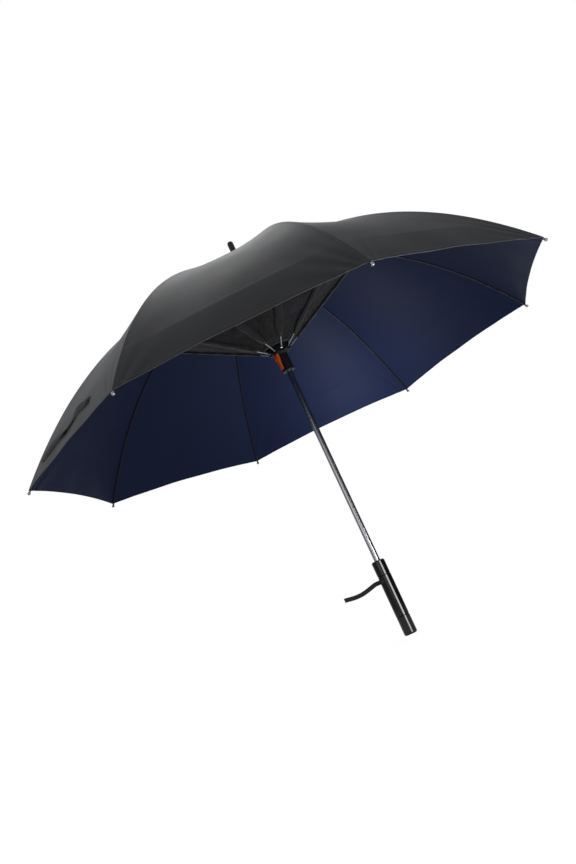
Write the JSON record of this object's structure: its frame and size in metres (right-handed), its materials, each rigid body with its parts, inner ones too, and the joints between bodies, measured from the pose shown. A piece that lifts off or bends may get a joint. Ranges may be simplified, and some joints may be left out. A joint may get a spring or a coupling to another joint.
{
  "type": "golf umbrella with crown fan",
  "caption": "Manual golf umbrella with a scalloped panelled canopy on flexible ribs, sliding runner with latch, straight handle, wrist loop and a small folding-blade fan under a net cone.",
  "frame": {"origin": "centre of the handle's lower end, on the shaft's axis", "axes": "+Z along the shaft from the handle to the ferrule, +X towards rib 1; the part is drawn open"},
  "size_m": [1.127, 1.127, 0.88],
  "materials": {
    "canopy_cloth": "plain weave polyester pongee, water-repellent",
    "net_cloth": "open mesh",
    "webbing": "narrow woven webbing",
    "polished_steel": "polished",
    "bright_steel": "bright zinc plated",
    "black_rod": "fibreglass rod, lacquered",
    "gloss_black": "piano black",
    "matte_black": "fine spark texture",
    "latch_orange": "satin",
    "ferrule_grey": "satin",
    "motor_grey": "satin",
    "spring_wire": "bright",
    "cell_wrap": "shrink wrap",
    "lead_sheath": "matte"
  },
  "bodies": {
    "root": {"shaft_tube": "polished_steel", "crown_hub": "matte_black", "crown_pins": "bright_steel", "canopy_cap": "matte_black", "ferrule": "ferrule_grey", "motor_housing": "motor_grey", "motor_lead": "lead_sheath", "handle_grip": "gloss_black", "handle_top_collar": "gloss_black", "battery_cell": "cell_wrap", "strap_post": "gloss_black", "wrist_strap": "webbing"},
    "runner": {"runner_body": "matte_black", "latch_pin": "bright_steel", "latch_spring": "spring_wire", "fan_guard_net": "net_cloth"},
    "latch": {"runner_latch": "latch_orange"},
    "rotor": {"fan_rotor": "motor_grey", "blade_pins": "bright_steel"},
    "switch": {"fan_switch_button": "matte_black"},
    "battery_cap": {"battery_cap": "gloss_black", "battery_spring": "spring_wire"},
    "rib_inner_1": {"rib_inner_1": "black_rod", "canopy_panel_1": "canopy_cloth"},
    "rib_outer_1": {"rib_outer_1": "black_rod"},
    "stretcher_1": {"stretcher_1": "bright_steel"},
    "rib_inner_2": {"rib_inner_2": "black_rod", "canopy_panel_2": "canopy_cloth"},
    "rib_outer_2": {"rib_outer_2": "black_rod"},
    "stretcher_2": {"stretcher_2": "bright_steel"},
    "rib_inner_3": {"rib_inner_3": "black_rod", "canopy_panel_3": "canopy_cloth"},
    "rib_outer_3": {"rib_outer_3": "black_rod"},
    "stretcher_3": {"stretcher_3": "bright_steel"},
    "rib_inner_4": {"rib_inner_4": "black_rod", "canopy_panel_4": "canopy_cloth", "tie_strap": "webbing"},
    "rib_outer_4": {"rib_outer_4": "black_rod"},
    "stretcher_4": {"stretcher_4": "bright_steel"},
    "rib_inner_5": {"rib_inner_5": "black_rod", "canopy_panel_5": "canopy_cloth"},
    "rib_outer_5": {"rib_outer_5": "black_rod"},
    "stretcher_5": {"stretcher_5": "bright_steel"},
    "rib_inner_6": {"rib_inner_6": "black_rod", "canopy_panel_6": "canopy_cloth"},
    "rib_outer_6": {"rib_outer_6": "black_rod"},
    "stretcher_6": {"stretcher_6": "bright_steel"},
    "rib_inner_7": {"rib_inner_7": "black_rod", "canopy_panel_7": "canopy_cloth"},
    "rib_outer_7": {"rib_outer_7": "black_rod"},
    "stretcher_7": {"stretcher_7": "bright_steel"},
    "rib_inner_8": {"rib_inner_8": "black_rod", "canopy_panel_8": "canopy_cloth"},
    "rib_outer_8": {"rib_outer_8": "black_rod"},
    "stretcher_8": {"stretcher_8": "bright_steel"},
    "blade_1": {"fan_blade_1": "matte_black"},
    "blade_2": {"fan_blade_2": "matte_black"},
    "blade_3": {"fan_blade_3": "matte_black"}
  },
  "joints": [
    {"name": "runner_slide", "type": "slide", "parent": "root", "child": "runner", "axis": [0, 0, -1], "range_m": [0, 0.32372], "deforming": ["fan_guard_net"]},
    {"name": "rib_fold_1", "type": "hinge", "parent": "root", "child": "rib_inner_1", "pos_m": [0.023, 0, 0.8075], "axis": [0, 1, 0], "range_deg": [0, 77], "deforming": ["canopy_panel_1"]},
    {"name": "rib_flex_1", "type": "hinge", "parent": "rib_inner_1", "child": "rib_outer_1", "pos_m": [0.25888, 0, 0.76399], "axis": [0, -1, 0], "range_deg": [0, 28]},
    {"name": "stretcher_fold_1", "type": "hinge", "parent": "rib_inner_1", "child": "stretcher_1", "pos_m": [0.25643, 0, 0.75786], "axis": [0, -1, 0], "range_deg": [0, 134.9]},
    {"name": "rib_fold_2", "type": "hinge", "parent": "root", "child": "rib_inner_2", "pos_m": [0.01626, 0.01626, 0.8075], "axis": [-0.7071, 0.7071, 0], "range_deg": [0, 77], "deforming": ["canopy_panel_2"]},
    {"name": "rib_flex_2", "type": "hinge", "parent": "rib_inner_2", "child": "rib_outer_2", "pos_m": [0.18306, 0.18306, 0.76399], "axis": [0.7071, -0.7071, 0], "range_deg": [0, 28]},
    {"name": "stretcher_fold_2", "type": "hinge", "parent": "rib_inner_2", "child": "stretcher_2", "pos_m": [0.18132, 0.18132, 0.75786], "axis": [0.7071, -0.7071, 0], "range_deg": [0, 134.9]},
    {"name": "rib_fold_3", "type": "hinge", "parent": "root", "child": "rib_inner_3", "pos_m": [0, 0.023, 0.8075], "axis": [-1, 0, 0], "range_deg": [0, 77], "deforming": ["canopy_panel_3"]},
    {"name": "rib_flex_3", "type": "hinge", "parent": "rib_inner_3", "child": "rib_outer_3", "pos_m": [0, 0.25888, 0.76399], "axis": [1, 0, 0], "range_deg": [0, 28]},
    {"name": "stretcher_fold_3", "type": "hinge", "parent": "rib_inner_3", "child": "stretcher_3", "pos_m": [0, 0.25643, 0.75786], "axis": [1, 0, 0], "range_deg": [0, 134.9]},
    {"name": "rib_fold_4", "type": "hinge", "parent": "root", "child": "rib_inner_4", "pos_m": [-0.01626, 0.01626, 0.8075], "axis": [-0.7071, -0.7071, 0], "range_deg": [0, 77], "deforming": ["canopy_panel_4", "tie_strap"]},
    {"name": "rib_flex_4", "type": "hinge", "parent": "rib_inner_4", "child": "rib_outer_4", "pos_m": [-0.18306, 0.18306, 0.76399], "axis": [0.7071, 0.7071, 0], "range_deg": [0, 28]},
    {"name": "stretcher_fold_4", "type": "hinge", "parent": "rib_inner_4", "child": "stretcher_4", "pos_m": [-0.18132, 0.18132, 0.75786], "axis": [0.7071, 0.7071, 0], "range_deg": [0, 134.9]},
    {"name": "rib_fold_5", "type": "hinge", "parent": "root", "child": "rib_inner_5", "pos_m": [-0.023, 0, 0.8075], "axis": [0, -1, 0], "range_deg": [0, 77], "deforming": ["canopy_panel_5"]},
    {"name": "rib_flex_5", "type": "hinge", "parent": "rib_inner_5", "child": "rib_outer_5", "pos_m": [-0.25888, 0, 0.76399], "axis": [0, 1, 0], "range_deg": [0, 28]},
    {"name": "stretcher_fold_5", "type": "hinge", "parent": "rib_inner_5", "child": "stretcher_5", "pos_m": [-0.25643, 0, 0.75786], "axis": [0, 1, 0], "range_deg": [0, 134.9]},
    {"name": "rib_fold_6", "type": "hinge", "parent": "root", "child": "rib_inner_6", "pos_m": [-0.01626, -0.01626, 0.8075], "axis": [0.7071, -0.7071, 0], "range_deg": [0, 77], "deforming": ["canopy_panel_6"]},
    {"name": "rib_flex_6", "type": "hinge", "parent": "rib_inner_6", "child": "rib_outer_6", "pos_m": [-0.18306, -0.18306, 0.76399], "axis": [-0.7071, 0.7071, 0], "range_deg": [0, 28]},
    {"name": "stretcher_fold_6", "type": "hinge", "parent": "rib_inner_6", "child": "stretcher_6", "pos_m": [-0.18132, -0.18132, 0.75786], "axis": [-0.7071, 0.7071, 0], "range_deg": [0, 134.9]},
    {"name": "rib_fold_7", "type": "hinge", "parent": "root", "child": "rib_inner_7", "pos_m": [0, -0.023, 0.8075], "axis": [1, 0, 0], "range_deg": [0, 77], "deforming": ["canopy_panel_7"]},
    {"name": "rib_flex_7", "type": "hinge", "parent": "rib_inner_7", "child": "rib_outer_7", "pos_m": [0, -0.25888, 0.76399], "axis": [-1, 0, 0], "range_deg": [0, 28]},
    {"name": "stretcher_fold_7", "type": "hinge", "parent": "rib_inner_7", "child": "stretcher_7", "pos_m": [0, -0.25643, 0.75786], "axis": [-1, 0, 0], "range_deg": [0, 134.9]},
    {"name": "rib_fold_8", "type": "hinge", "parent": "root", "child": "rib_inner_8", "pos_m": [0.01626, -0.01626, 0.8075], "axis": [0.7071, 0.7071, 0], "range_deg": [0, 77], "deforming": ["canopy_panel_8"]},
    {"name": "rib_flex_8", "type": "hinge", "parent": "rib_inner_8", "child": "rib_outer_8", "pos_m": [0.18306, -0.18306, 0.76399], "axis": [-0.7071, -0.7071, 0], "range_deg": [0, 28]},
    {"name": "stretcher_fold_8", "type": "hinge", "parent": "rib_inner_8", "child": "stretcher_8", "pos_m": [0.18132, -0.18132, 0.75786], "axis": [-0.7071, -0.7071, 0], "range_deg": [0, 134.9]},
    {"name": "rotor_spin", "type": "hinge", "parent": "root", "child": "rotor", "pos_m": [0, 0, 0.702], "axis": [0, 0, 1], "continuous": true},
    {"name": "blade_fold_1", "type": "hinge", "parent": "rotor", "child": "blade_1", "pos_m": [0.02154, 0.00577, 0.702], "axis": [-0.2532, 0.9448, 0.2079], "range_deg": [0, 86]},
    {"name": "blade_fold_2", "type": "hinge", "parent": "rotor", "child": "blade_2", "pos_m": [-0.01577, 0.01577, 0.702], "axis": [-0.6917, -0.6917, 0.2079], "range_deg": [0, 86]},
    {"name": "blade_fold_3", "type": "hinge", "parent": "rotor", "child": "blade_3", "pos_m": [-0.00577, -0.02154, 0.702], "axis": [0.9448, -0.2532, 0.2079], "range_deg": [0, 86]},
    {"name": "latch_press", "type": "hinge", "parent": "runner", "child": "latch", "pos_m": [-0.00952, 0.00394, 0.5945], "axis": [0.3827, 0.9239, 0], "range_deg": [0, 5], "stiffness_Nm_per_rad": 0.4},
    {"name": "switch_press", "type": "slide", "parent": "root", "child": "switch", "axis": [-0.891, -0.454, 0], "range_m": [0, 0.0008], "stiffness_N_per_m": 900},
    {"name": "battery_cap_twist", "type": "hinge", "parent": "root", "child": "battery_cap", "pos_m": [0, 0, 0.019], "axis": [0, 0, 1], "range_deg": [0, 90]}
  ],
  "couplings": [
    {"joint": "rib_fold_1", "follows": "runner_slide", "rad_per_m": 4.1515},
    {"joint": "rib_flex_1", "follows": "runner_slide", "rad_per_m": 1.5096},
    {"joint": "stretcher_fold_1", "follows": "runner_slide", "rad_per_m": 7.2733},
    {"joint": "rib_fold_2", "follows": "runner_slide", "rad_per_m": 4.1515},
    {"joint": "rib_flex_2", "follows": "runner_slide", "rad_per_m": 1.5096},
    {"joint": "stretcher_fold_2", "follows": "runner_slide", "rad_per_m": 7.2733},
    {"joint": "rib_fold_3", "follows": "runner_slide", "rad_per_m": 4.1515},
    {"joint": "rib_flex_3", "follows": "runner_slide", "rad_per_m": 1.5096},
    {"joint": "stretcher_fold_3", "follows": "runner_slide", "rad_per_m": 7.2733},
    {"joint": "rib_fold_4", "follows": "runner_slide", "rad_per_m": 4.1515},
    {"joint": "rib_flex_4", "follows": "runner_slide", "rad_per_m": 1.5096},
    {"joint": "stretcher_fold_4", "follows": "runner_slide", "rad_per_m": 7.2733},
    {"joint": "rib_fold_5", "follows": "runner_slide", "rad_per_m": 4.1515},
    {"joint": "rib_flex_5", "follows": "runner_slide", "rad_per_m": 1.5096},
    {"joint": "stretcher_fold_5", "follows": "runner_slide", "rad_per_m": 7.2733},
    {"joint": "rib_fold_6", "follows": "runner_slide", "rad_per_m": 4.1515},
    {"joint": "rib_flex_6", "follows": "runner_slide", "rad_per_m": 1.5096},
    {"joint": "stretcher_fold_6", "follows": "runner_slide", "rad_per_m": 7.2733},
    {"joint": "rib_fold_7", "follows": "runner_slide", "rad_per_m": 4.1515},
    {"joint": "rib_flex_7", "follows": "runner_slide", "rad_per_m": 1.5096},
    {"joint": "stretcher_fold_7", "follows": "runner_slide", "rad_per_m": 7.2733},
    {"joint": "rib_fold_8", "follows": "runner_slide", "rad_per_m": 4.1515},
    {"joint": "rib_flex_8", "follows": "runner_slide", "rad_per_m": 1.5096},
    {"joint": "stretcher_fold_8", "follows": "runner_slide", "rad_per_m": 7.2733},
    {"joint": "blade_fold_1", "follows": "runner_slide", "rad_per_m": 4.6367},
    {"joint": "blade_fold_2", "follows": "runner_slide", "rad_per_m": 4.6367},
    {"joint": "blade_fold_3", "follows": "runner_slide", "rad_per_m": 4.6367}
  ]
}
